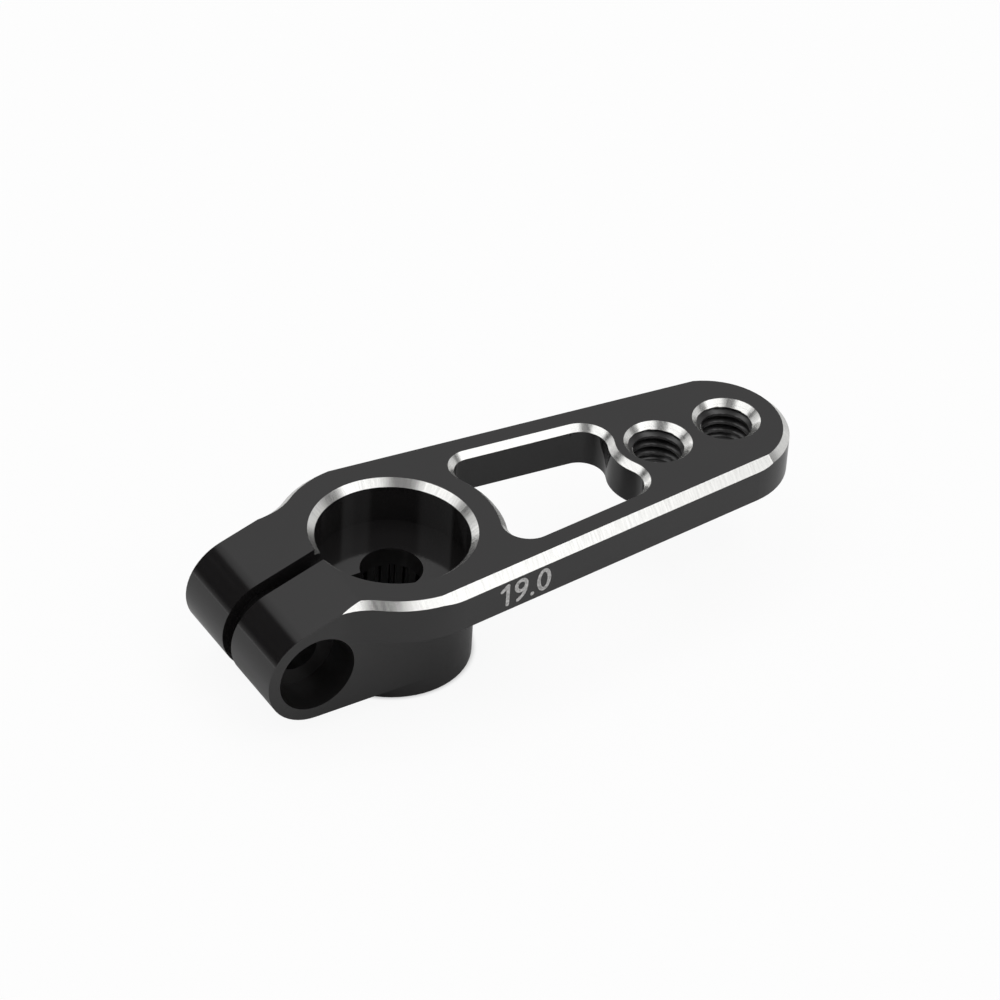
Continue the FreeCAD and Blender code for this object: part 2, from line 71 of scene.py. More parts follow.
class NodeBench:
    """Adds shader nodes to one tree and joins them."""

    def __init__(self, tree: bpy.types.NodeTree) -> None:
        """Keeps the tree and empties it.

        Args:
            tree: The material's or world's node tree.
        """
        self.tree = tree
        tree.nodes.clear()

    def add(self, kind: str, **settings: object) -> bpy.types.Node:
        """Adds one node.

        Args:
            kind: The node's type name.
            **settings: Properties to set on it.

        Returns:
            The new node.
        """
        node = self.tree.nodes.new(kind)
        for name, value in settings.items():
            setattr(node, name, value)
        return node

    def join(self, value: object, socket: bpy.types.NodeSocket) -> None:
        """Links an output into a socket, or writes a plain number or tuple on it.

        Args:
            value: An output socket, a number or a tuple.
            socket: The input that takes it.
        """
        if isinstance(value, bpy.types.NodeSocket):
            self.tree.links.new(value, socket)
        else:
            socket.default_value = value

    def maths(self, operation: str, *values: object, clamp: bool = False) -> bpy.types.NodeSocket:
        """One Math node.

        Args:
            operation: The node's operation, such as MULTIPLY.
            *values: Its inputs, as outputs of other nodes or numbers.
            clamp: Whether the result is kept between 0 and 1.

        Returns:
            The node's output.
        """
        node = self.add("ShaderNodeMath", operation=operation, use_clamp=clamp)
        for value, socket in zip(values, node.inputs):
            self.join(value, socket)
        return node.outputs[0]

    def ramp(
        self, value: object, low: float, high: float, to_low: float = 0.0, to_high: float = 1.0
    ) -> bpy.types.NodeSocket:
        """A smooth step from one value to another.

        Args:
            value: What is measured.
            low: Where the step starts.
            high: Where the step ends.
            to_low: The result at and before the start.
            to_high: The result at and past the end.

        Returns:
            The step's output.
        """
        node = self.add("ShaderNodeMapRange", interpolation_type="SMOOTHSTEP", clamp=True)
        for number, socket in zip((value, low, high, to_low, to_high), node.inputs):
            self.join(number, socket)
        return node.outputs[0]

    def blend(self, share: object, first: object, second: object) -> bpy.types.NodeSocket:
        """Mixes two numbers: first where share is 0, second where it is 1."""
        node = self.add("ShaderNodeMix", data_type="FLOAT")
        for value, socket in zip((share, first, second), (node.inputs[0], node.inputs[2], node.inputs[3])):
            self.join(value, socket)
        return node.outputs[0]

    def blend_colour(self, share: object, first: object, second: object) -> bpy.types.NodeSocket:
        """Mixes two colours: first where share is 0, second where it is 1."""
        node = self.add("ShaderNodeMix", data_type="RGBA")
        for value, socket in zip((share, first, second), (node.inputs[0], node.inputs[6], node.inputs[7])):
            self.join(value, socket)
        return node.outputs[2]

    def place(self) -> tuple[bpy.types.NodeSocket, ...]:
        """The shaded point in the horn's frame.

        Returns:
            The point in millimetres as a vector, then its x, y and z.
        """
        here = self.add("ShaderNodeTexCoord").outputs["Object"]
        scaled = self.add("ShaderNodeVectorMath", operation="SCALE")
        self.join(here, scaled.inputs[0])
        self.join(1.0 / MM, scaled.inputs["Scale"])
        parts = self.add("ShaderNodeSeparateXYZ")
        self.join(scaled.outputs[0], parts.inputs[0])
        return scaled.outputs[0], *parts.outputs

    def reach(self, x: object, y: object) -> bpy.types.NodeSocket:
        """The length of the flat vector (x, y)."""
        square = self.maths("MULTIPLY_ADD", y, y, self.maths("MULTIPLY", x, x))
        return self.maths("SQRT", square)

    def noise(self, where: object, scale: float, detail: float = 2.0) -> bpy.types.NodeSocket:
        """Fine grain between 0 and 1 around 0.5.

        Args:
            where: The vector it is read at.
            scale: Grains per unit of that vector.
            detail: How many finer layers it has.

        Returns:
            The grain's output.
        """
        node = self.add("ShaderNodeTexNoise")
        self.join(where, node.inputs["Vector"])
        self.join(scale, node.inputs["Scale"])
        self.join(detail, node.inputs["Detail"])
        return node.outputs["Fac"]

    def vector(self, x: object, y: object, z: object) -> bpy.types.NodeSocket:
        """A vector of three numbers."""
        node = self.add("ShaderNodeCombineXYZ")
        for value, socket in zip((x, y, z), node.inputs):
            self.join(value, socket)
        return node.outputs[0]

    def bump(self, height: object, strength: float, distance: float) -> bpy.types.NodeSocket:
        """A surface relief.

        Args:
            height: The relief's height between 0 and 1.
            strength: How much of it shows.
            distance: The height of 1 in millimetres.

        Returns:
            The bent normal.
        """
        node = self.add("ShaderNodeBump")
        self.join(strength, node.inputs["Strength"])
        self.join(distance * MM, node.inputs["Distance"])
        self.join(height, node.inputs["Height"])
        return node.outputs[0]


@dataclass(frozen=True)
class Anodised:
    """Black anodised aluminium: a dyed oxide skin, smooth and glossy over fine machining."""

    colour: tuple[float, float, float] = (0.0130, 0.0122, 0.0124)
    roughness: float = 0.1
    bored_roughness: float = 0.3
    refraction: float = 1.65
    grain_per_mm: float = 14.0
    grain_height: float = 0.0006
    grain_roughness: float = 0.06
    cloud_per_mm: float = 0.35
    cloud_share: float = 0.15


@dataclass(frozen=True)
class BrightCut:
    """Bare aluminium where a cutter broke the edges after anodising."""

    colour: tuple[float, float, float] = (0.935, 0.932, 0.912)
    roughness: float = 0.22
    metal: float = 0.88
    streaks_per_mm: float = 7.0
    streak_span: tuple[float, float] = (0.3, 0.7)
    streak_roughness: float = 0.05
    streak_shade: float = 0.5
    chatter: tuple[float, float] = (0.06, 0.22)
    chatter_reach: float = 4.3


@dataclass(frozen=True)
class HornPlan:
    """Where the horn's bright-cut chamfers and its bores are, so that a finish can follow them."""

    top: float = 7.0
    outline_chamfer: float = 0.34
    side_chamfer: float = 0.44
    window_chamfer: float = 0.31
    window_span: tuple[float, float] = (4.6, 15.8)
    side_normal: tuple[float, float] = (0.1008, 0.9949)
    side_distance: float = 5.75
    rib_line: float = 4.9
    recess_chamfer: float = 0.34
    recess_radius: float = 3.75
    hole_chamfer: float = 0.2
    hole_radius: float = 1.5
    hole_places: tuple[float, float] = (15.0, 19.0)
    crease: float = -4.05
    slope: float = 0.3219
    tip_radius: float = 3.93
    tip_centre: float = 18.06
    clamp_axis: tuple[float, float] = (-6.34, 3.521)
    clamp_head_radius: float = 2.0
    clamp_face: float = 4.05
    spline_radius: float = 2.96
    recess_floor: float = 4.65
    rim_margin: float = 0.1
    face_margin: float = 0.01
    bevel_margin: float = 0.006


@dataclass(frozen=True)
class HornFinish:
    """The horn's whole finish: anodised everywhere but on its bright-cut chamfers."""

    skin: Anodised = field(default_factory=Anodised)
    cut: BrightCut = field(default_factory=BrightCut)
    plan: HornPlan = field(default_factory=HornPlan)

    def chamfer_share(
        self, bench: NodeBench, x: object, y: object, z: object
    ) -> tuple[bpy.types.NodeSocket, bpy.types.NodeSocket]:
        """Finds the chamfers from the place alone.

        A point is on a chamfer when it lies below the top face and above the level at which that
        edge's chamfer starts. The level is the outline's one, raised round the window, near the
        recess and near the two arm holes, whose chamfers differ. The window's part of the plate
        lies between two places along the arm and nearer the middle than a line along the arm's
        side. The arm's two straight sides have a wider bevel, and a point is on it when its
        height and its distance outwards add up to the bevel's. Past the crease, where the clamp's
        top slopes down, only what lies below the slope along the clamp's two sides is a chamfer.

        Args:
            bench: The tree's bench.
            x: The place along the arm.
            y: The place across it.
            z: The height.

        Returns:
            1 on the chamfers and 0 elsewhere, and the place's reach from the hub's centre.
        """
        plan = self.plan
        hub = bench.reach(x, y)
        ring_rim = plan.recess_radius + plan.recess_chamfer + plan.rim_margin
        near_recess = bench.maths("LESS_THAN", hub, ring_rim)
        first, last = (bench.reach(bench.maths("SUBTRACT", x, at), y) for at in plan.hole_places)
        rim = plan.hole_radius + plan.hole_chamfer + plan.rim_margin
        near_hole = bench.maths("LESS_THAN", bench.maths("MINIMUM", first, last), rim)
        start, end = plan.window_span
        along, across = plan.side_normal
        aside = bench.maths("ABSOLUTE", y)
        outward = bench.maths("MULTIPLY_ADD", aside, across, bench.maths("MULTIPLY", x, along))
        from_middle = bench.maths("ABSOLUTE", bench.maths("SUBTRACT", x, (start + end) / 2))
        within = bench.maths("LESS_THAN", from_middle, (end - start) / 2)
        near_window = bench.maths("MULTIPLY", within, bench.maths("LESS_THAN", outward, plan.rib_line))
        level = bench.blend(near_window, plan.top - plan.outline_chamfer, plan.top - plan.window_chamfer)
        level = bench.blend(near_recess, level, plan.top - plan.recess_chamfer)
        level = bench.blend(near_hole, level, plan.top - plan.hole_chamfer)
        above = bench.maths("GREATER_THAN", z, bench.maths("ADD", level, 0.002))
        bevel = plan.top + plan.side_distance - plan.side_chamfer
        off_bevel = bench.maths("ABSOLUTE", bench.maths("SUBTRACT", bench.maths("ADD", z, outward), bevel))
        above = bench.maths("MAXIMUM", above, bench.maths("LESS_THAN", off_bevel, plan.bevel_margin))
        below = bench.maths("LESS_THAN", z, plan.top - 0.001)
        ahead = bench.maths("GREATER_THAN", x, plan.crease)
        past_crease = bench.maths("SUBTRACT", x, plan.crease)
        slope = bench.maths("MULTIPLY_ADD", past_crease, plan.slope, plan.top - 0.004)
        under_slope = bench.maths("LESS_THAN", z, slope)
        at_side = bench.maths("GREATER_THAN", aside, -plan.crease - plan.outline_chamfer)
        kept = bench.maths("MAXIMUM", ahead, bench.maths("MULTIPLY", under_slope, at_side))
        share = bench.maths("MULTIPLY", bench.maths("MULTIPLY", above, below), kept)
        return share, hub

    def bored_share(
        self, bench: NodeBench, x: object, y: object, z: object, hub: object
    ) -> bpy.types.NodeSocket:
        """Finds the drilled bores, which are less smooth than the milled faces.

        They are the output screw's hole with the spline under it, and the clamp screw's hole.

        Args:
            bench: The tree's bench.
            x: The place along the arm.
            y: The place across it.
            z: The height.
            hub: The reach from the hub's centre.

        Returns:
            1 in the bores and 0 elsewhere.
        """
        plan = self.plan
        axis_x, axis_z = plan.clamp_axis
        beside = bench.reach(bench.maths("SUBTRACT", x, axis_x), bench.maths("SUBTRACT", z, axis_z))
        in_clamp = bench.maths("LESS_THAN", beside, plan.clamp_head_radius + plan.face_margin)
        in_front = bench.maths("GREATER_THAN", y, plan.face_margin - plan.clamp_face)
        at_back = bench.maths("LESS_THAN", y, plan.clamp_face - plan.face_margin)
        in_clamp = bench.maths("MULTIPLY", in_clamp, bench.maths("MULTIPLY", in_front, at_back))
        in_hub = bench.maths("LESS_THAN", hub, plan.spline_radius + plan.face_margin)
        low = bench.maths("LESS_THAN", z, plan.recess_floor - plan.face_margin)
        inside = bench.maths("MULTIPLY", low, bench.maths("GREATER_THAN", z, plan.face_margin))
        in_hub = bench.maths("MULTIPLY", in_hub, inside)
        return bench.maths("MAXIMUM", in_clamp, in_hub)

    def along_edge(
        self, bench: NodeBench, x: object, y: object, hub: object
    ) -> bpy.types.NodeSocket:
        """The way along a chamfer in millimetres, for streaks that lie across it.

        It is the angle about the hub times the recess's radius near the recess, the angle about
        the tip times the tip's radius past its centre, and x along the straight edges between.

        Args:
            bench: The tree's bench.
            x: The place along the arm.
            y: The place across it.
            hub: The reach from the hub's centre.

        Returns:
            The way along the edge.
        """
        plan = self.plan
        round_hub = bench.maths("MULTIPLY", bench.maths("ARCTAN2", y, x), plan.recess_radius)
        from_tip = bench.maths("SUBTRACT", x, plan.tip_centre)
        round_tip = bench.maths("MULTIPLY", bench.maths("ARCTAN2", y, from_tip), plan.tip_radius)
        in_ring = bench.maths("LESS_THAN", hub, self.cut.chatter_reach)
        at_tip = bench.maths("GREATER_THAN", from_tip, 0.0)
        return bench.blend(at_tip, bench.blend(in_ring, x, round_hub), round_tip)

    def material(self, name: str, share: str = "") -> bpy.types.Material:
        """Builds the finish.

        Args:
            name: The material's name.
            share: An attribute that says where the bright cut is. Without it the place says so.

        Returns:
            The material.
        """
        skin, cut = self.skin, self.cut
        made = bpy.data.materials.new(name)
        made.use_nodes = True
        bench = NodeBench(made.node_tree)
        where, x, y, z = bench.place()
        if share:
            bright = bench.add("ShaderNodeAttribute", attribute_name=share).outputs["Fac"]
            hub, bored = bench.reach(x, y), 1.0
        else:
            bright, hub = self.chamfer_share(bench, x, y, z)
            bored = self.bored_share(bench, x, y, z, hub)
        way = self.along_edge(bench, x, y, hub)
        streak_place = bench.vector(way, 0.0, bench.maths("MULTIPLY", z, 0.15))
        streak = bench.noise(streak_place, cut.streaks_per_mm, 3.0)
        grain = bench.noise(where, skin.grain_per_mm, 3.0)
        cloud = bench.noise(where, skin.cloud_per_mm, 2.0)
        darker = (*(c * (1.0 - skin.cloud_share) for c in skin.colour), 1.0)
        paler = (*(c * (1.0 + skin.cloud_share) for c in skin.colour), 1.0)
        deep = bench.blend_colour(cloud, darker, paler)
        in_ring = bench.maths("LESS_THAN", hub, cut.chatter_reach)
        chatter = bench.blend(in_ring, cut.chatter[0], cut.chatter[1])
        shade = bench.maths("MULTIPLY", bench.ramp(streak, *cut.streak_span, 1.0, 0.0), chatter)
        shaded = (*(c * cut.streak_shade for c in cut.colour), 1.0)
        shine = bench.blend_colour(shade, (*cut.colour, 1.0), shaded)
        surface = bench.add("ShaderNodeBsdfPrincipled")
        bench.join(skin.refraction, surface.inputs["IOR"])
        bench.join(bench.blend_colour(bright, deep, shine), surface.inputs["Base Color"])
        bench.join(bench.maths("MULTIPLY", bright, cut.metal), surface.inputs["Metallic"])
        smooth = bench.blend(bored, skin.roughness, skin.bored_roughness)
        least = bench.maths("SUBTRACT", smooth, skin.grain_roughness / 2)
        rough = bench.maths("MULTIPLY_ADD", grain, skin.grain_roughness, least)
        dull, clean = cut.roughness + cut.streak_roughness, cut.roughness - cut.streak_roughness
        cut_rough = bench.ramp(streak, *cut.streak_span, dull, clean)
        bench.join(bench.blend(bright, rough, cut_rough), surface.inputs["Roughness"])
        relief = bench.blend(bench.maths("MULTIPLY", bright, in_ring), grain, streak)
        bench.join(bench.bump(relief, 0.25, skin.grain_height), surface.inputs["Normal"])
        output = bench.add("ShaderNodeOutputMaterial")
        bench.join(surface.outputs[0], output.inputs[0])
        return made


@dataclass(frozen=True)
class Engraved:
    """A shallow laser mark: the dye is burnt off and leaves a pale, rough trace."""

    colour: tuple[float, float, float] = (0.74, 0.73, 0.72)
    roughness: float = 0.62
    hatch_per_mm: float = 22.0

    def material(self, name: str) -> bpy.types.Material:
        """Builds the finish, with fine hatch lines and a few darker pits.

        Args:
            name: The material's name.

        Returns:
            The material.
        """
        made = bpy.data.materials.new(name)
        made.use_nodes = True
        bench = NodeBench(made.node_tree)
        where, x, _, z = bench.place()
        pits = bench.noise(where, 9.0, 3.0)
        slanted = bench.maths("ADD", z, bench.maths("MULTIPLY", x, 0.4))
        phase = bench.maths("MULTIPLY", slanted, self.hatch_per_mm)
        hatch = bench.maths("MULTIPLY_ADD", bench.maths("SINE", phase), 0.5, 0.5)
        mix = bench.maths("MULTIPLY_ADD", hatch, 0.25, bench.ramp(pits, 0.35, 0.6, 0.0, 0.75))
        dark = (*(c * 0.55 for c in self.colour), 1.0)
        surface = bench.add("ShaderNodeBsdfPrincipled")
        bench.join(bench.blend_colour(mix, dark, (*self.colour, 1.0)), surface.inputs["Base Color"])
        bench.join(self.roughness, surface.inputs["Roughness"])
        bench.join(bench.bump(hatch, 0.4, 0.003), surface.inputs["Normal"])
        output = bench.add("ShaderNodeOutputMaterial")
        bench.join(surface.outputs[0], output.inputs[0])
        return made


def grid_faces(rows: int, columns: int, round_rows: bool, round_columns: bool) -> np.ndarray:
    """Faces of a grid of points.

    Args:
        rows: How many rows the grid has.
        columns: How many points each row has.
        round_rows: Whether the last row joins the first.
        round_columns: Whether a row's last point joins its first.

    Returns:
        Four point numbers for each face.
    """
    row = np.arange(rows if round_rows else rows - 1)
    column = np.arange(columns if round_columns else columns - 1)
    row, column = np.meshgrid(row, column, indexing="ij")
    next_row, next_column = (row + 1) % rows, (column + 1) % columns
    corners = (row, column), (row, next_column), (next_row, next_column), (next_row, column)
    return np.stack([r * columns + c for r, c in corners], axis=-1).reshape(-1, 4)


def facing_out(points: np.ndarray, faces: np.ndarray) -> np.ndarray:
    """Turns a closed shell's faces outwards.

    The shell's volume is the sum over its faces of the corner's dot product with the face's
    cross product. Where that is negative, every face has its corners in the other order.

    Args:
        points: The shell's points.
        faces: Its faces, with four corners each.

    Returns:
        The faces, facing outwards.
    """
    a, b, c, d = (points[faces[:, i]] for i in range(4))
    volume = (a * (np.cross(b, c) + np.cross(c, d))).sum()
    return faces if volume > 0 else faces[:, ::-1]


def make_piece(
    name: str,
    points: np.ndarray,
    faces: np.ndarray,
    material: bpy.types.Material,
    edges: SplitEdges = SplitEdges.CRISP,
    shares: dict[str, np.ndarray] | None = None,
) -> bpy.types.Object:
    """Puts points and faces into a new object at the origin.

    Args:
        name: The piece's name.
        points: Its points in millimetres.
        faces: Its faces as point numbers.
        material: Its finish.
        edges: Where its shading breaks.
        shares: Numbers per point, kept as attributes under their names.

    Returns:
        The new object, smooth but for its crisp edges.
    """
    mesh = bpy.data.meshes.new(name)
    mesh.from_pydata((points * MM).tolist(), [], faces.tolist())
    mesh.update()
    for label, values in (shares or {}).items():
        mesh.attributes.new(label, "FLOAT", "POINT").data.foreach_set("value", values.astype(np.float32))
    mesh.shade_smooth()
    mesh.set_sharp_from_angle(angle=math.radians(edges.value))
    mesh.materials.append(material)
    piece = bpy.data.objects.new(name, mesh)
    bpy.context.scene.collection.objects.link(piece)
    return piece


@dataclass
class TappedHole:
    """The thread cut into the wall of one hole, as a sleeve a hundredth into the wall."""

    name: str
    axis: Axis
    centre: tuple[float, float]
    start: float
    end: float
    major_radius: float
    pitch: float
    minor_radius: float
    mouth_radius: float = 0.0
    turn_points: int = 144
    rows_per_pitch: int = 22

    def wall(self, turn: np.ndarray, way: np.ndarray) -> tuple[np.ndarray, np.ndarray]:
        """The threaded wall as a radius over the turn and the way along the hole.

        The thread's phase is the way over the pitch less the turn over a full turn. Over one
        phase the radius is the minor one on a crest a quarter wide, then rises straight to the
        major one, stays there for an eighth, and falls back. The groove runs out near the hole's
        start. At a mouth the radius is never less than a cone's of 45 degrees that ends at the
        mouth's radius.

        Args:
            turn: The angles about the axis.
            way: The places along the axis.

        Returns:
            The radius, and 1 where the mouth's cone cuts the thread.
        """
        phase = (way / self.pitch - turn / (2 * np.pi)) % 1.0
        from_crest = np.abs(phase - 0.5) * 2.0
        rise = np.clip((from_crest - 0.25) / 0.625, 0.0, 1.0)
        rise = rise * np.clip((way - self.start - 0.1) / 0.3, 0.0, 1.0)
        radius = self.minor_radius + (self.major_radius - 0.01 - self.minor_radius) * rise
        if not self.mouth_radius:
            return radius, np.zeros_like(radius)
        cone = self.mouth_radius - (self.end - way)
        return np.maximum(radius, cone), (cone > radius - 0.004).astype(float)

    def build(self, material: bpy.types.Material) -> bpy.types.Object:
        """Makes the sleeve: the threaded wall, its two ends and a plain back inside the metal.

        Args:
            material: Its finish.

        Returns:
            The piece.
        """
        back = self.major_radius + 0.012
        last = self.end - (self.mouth_radius - self.major_radius if self.mouth_radius else 0.0)
        rows = int(round((last - self.start) / self.pitch * self.rows_per_pitch)) + 1
        turn, way = np.meshgrid(
            np.linspace(0, 2 * np.pi, self.turn_points, endpoint=False),
            np.linspace(self.start, last, rows),
            indexing="ij",
        )
        radius, bright = self.wall(turn, way)
        ends = np.array([[last - 0.006, self.start + 0.006]])
        turn = np.hstack([turn, turn[:, :2]])
        way = np.hstack([way, np.repeat(ends, self.turn_points, axis=0)])
        radius = np.hstack([radius, np.full((self.turn_points, 2), back)])
        bright = np.hstack([bright, np.zeros((self.turn_points, 2))])
        across, up = radius * np.cos(turn), radius * np.sin(turn)
        if self.axis is Axis.UP:
            parts = (self.centre[0] + across, self.centre[1] + up, way)
        else:
            parts = (self.centre[0] + across, way, self.centre[1] + up)
        points = np.stack(parts, axis=-1).reshape(-1, 3)
        faces = facing_out(points, grid_faces(*turn.shape, True, True))
        return make_piece(self.name, points, faces, material, shares={"bright_cut": bright.ravel()})


@dataclass
class ArmNumber:
    """The arm's length in millimetres, marked on the side of the plate."""

    name: str = "arm_number"
    normal: tuple[float, float] = (0.1013, -0.9949)
    distance: float = 5.7565
    start: float = 2.2
    foot: float = 5.07
    height: float = 1.32
    stroke: float = 0.105
    lift: float = 0.012
    sections: int = 20

    def digits(self) -> list[np.ndarray]:
        """The strokes' middle lines, each as points of (across, up) in millimetres.

        The one is a short flag and an upright. The nine is an ellipse with a tail that bends from
        its right side to the foot. The nought is a tall ellipse, and the point a very short line.

        Returns:
            The open and closed lines. A closed one ends where it starts.
        """
        w, h = self.stroke, self.height
        t = np.linspace(0, 1, 40)[:, None]
        flag = np.array([0.02, h - 0.33]) * (1 - t) + np.array([0.34, h - w]) * t
        upright = np.array([0.36, h - w]) * (1 - t) + np.array([0.36, w]) * t
        turn = np.linspace(0, 2 * np.pi, 72)
        loop = np.stack([1.16 + 0.30 * np.cos(turn), h - w - 0.31 + 0.31 * np.sin(turn)], axis=1)
        a, b, c = np.array([1.46, h - w - 0.31]), np.array([1.47, 0.30]), np.array([0.98, w])
        tail = a * (1 - t) ** 2 + 2 * b * t * (1 - t) + c * t**2
        dot = np.array([1.83, w]) * (1 - t) + np.array([1.85, w]) * t
        nought = np.stack([2.52 + 0.31 * np.cos(turn), h / 2 + (h / 2 - w) * np.sin(turn)], axis=1)
        return [flag, upright, loop, tail, dot, nought]

    def ribbon(self, line: np.ndarray) -> tuple[np.ndarray, np.ndarray]:
        """A flat ribbon with round ends along one line.

        Each station of the line carries a flat ellipse across it, as wide as the stroke and a few
        hundredths thick. On an open line the ellipses shrink as a circle's chord does over the
        last half width at each end, so that the ends are round.

        Args:
            line: The line's points on the plate's side.

        Returns:
            The ribbon's points as (across, up, out), and its faces.
        """
        closed = bool(np.allclose(line[0], line[-1]))
        if closed:
            path = line[:-1]
            along = np.roll(path, -1, axis=0) - np.roll(path, 1, axis=0)
            size = np.ones(len(path))
        else:
            steps = np.linspace(0, np.pi / 2, 9)[:-1]
            first, last = line[1] - line[0], line[-1] - line[-2]
            first, last = (v / np.linalg.norm(v) * self.stroke for v in (first, last))
            head = line[0] - first * np.cos(steps)[:, None]
            foot = line[-1] + last * np.cos(steps[::-1])[:, None]
            path = np.vstack([head, line, foot])
            along = np.gradient(path, axis=0)
            size = np.hstack([np.sin(steps), np.ones(len(line)), np.sin(steps[::-1])])
            size = np.maximum(size, 0.02)
        along = along / np.linalg.norm(along, axis=1)[:, None]
        across = np.stack([-along[:, 1], along[:, 0]], axis=1)
        turn = np.linspace(0, 2 * np.pi, self.sections, endpoint=False)
        side = np.cos(turn)[None, :, None] * self.stroke * size[:, None, None]
        out = np.sin(turn)[None, :] * self.lift * size[:, None]
        flat = path[:, None, :] + side * across[:, None, :]
        points = np.concatenate([flat, out[:, :, None]], axis=2).reshape(-1, 3)
        faces = grid_faces(len(path), self.sections, closed, True)
        if not closed:
            ends = np.array([path[0], path[-1]])
            points = np.vstack([points, np.hstack([ends, np.zeros((2, 1))])])
            ring = np.arange(self.sections)
            after = (ring + 1) % self.sections
            tip = len(points) - 2
            base = (len(path) - 1) * self.sections
            start = np.stack([np.full_like(ring, tip), after, ring, ring], axis=1)
            stop = np.stack([np.full_like(ring, tip + 1), base + ring, base + after, base + after], axis=1)
            faces = np.vstack([faces, start, stop])
        return points, faces

    def build(self, material: bpy.types.Material) -> bpy.types.Object:
        """Makes the number on the plate's side.

        Args:
            material: Its finish.

        Returns:
            The piece.
        """
        normal = np.array([*self.normal, 0.0])
        normal = normal / np.linalg.norm(normal)
        across = np.array([-normal[1], normal[0], 0.0])
        points, faces, count = [], [], 0
        for line in self.digits():
            flat, quads = self.ribbon(line)
            place = (
                normal * self.distance
                + across * (self.start + flat[:, :1])
                + np.array([0.0, 0.0, 1.0]) * (self.foot + flat[:, 1:2])
                + normal * flat[:, 2:3]
            )
            points.append(place)
            faces.append(facing_out(place, quads) + count)
            count += len(place)
        every = [list(dict.fromkeys(face)) for face in np.vstack(faces).tolist()]
        whole = np.array(every, dtype=object)
        return make_piece(self.name, np.vstack(points), whole, material, SplitEdges.SOFT)


@dataclass(frozen=True)
class LightPatch:
    """A soft-edged zone of the studio around the horn: a light panel or a gap between two."""

    name: str
    azimuth: float
    half_width: float
    elevation: float
    half_height: float
    soft: float
    fade: float
    level: float


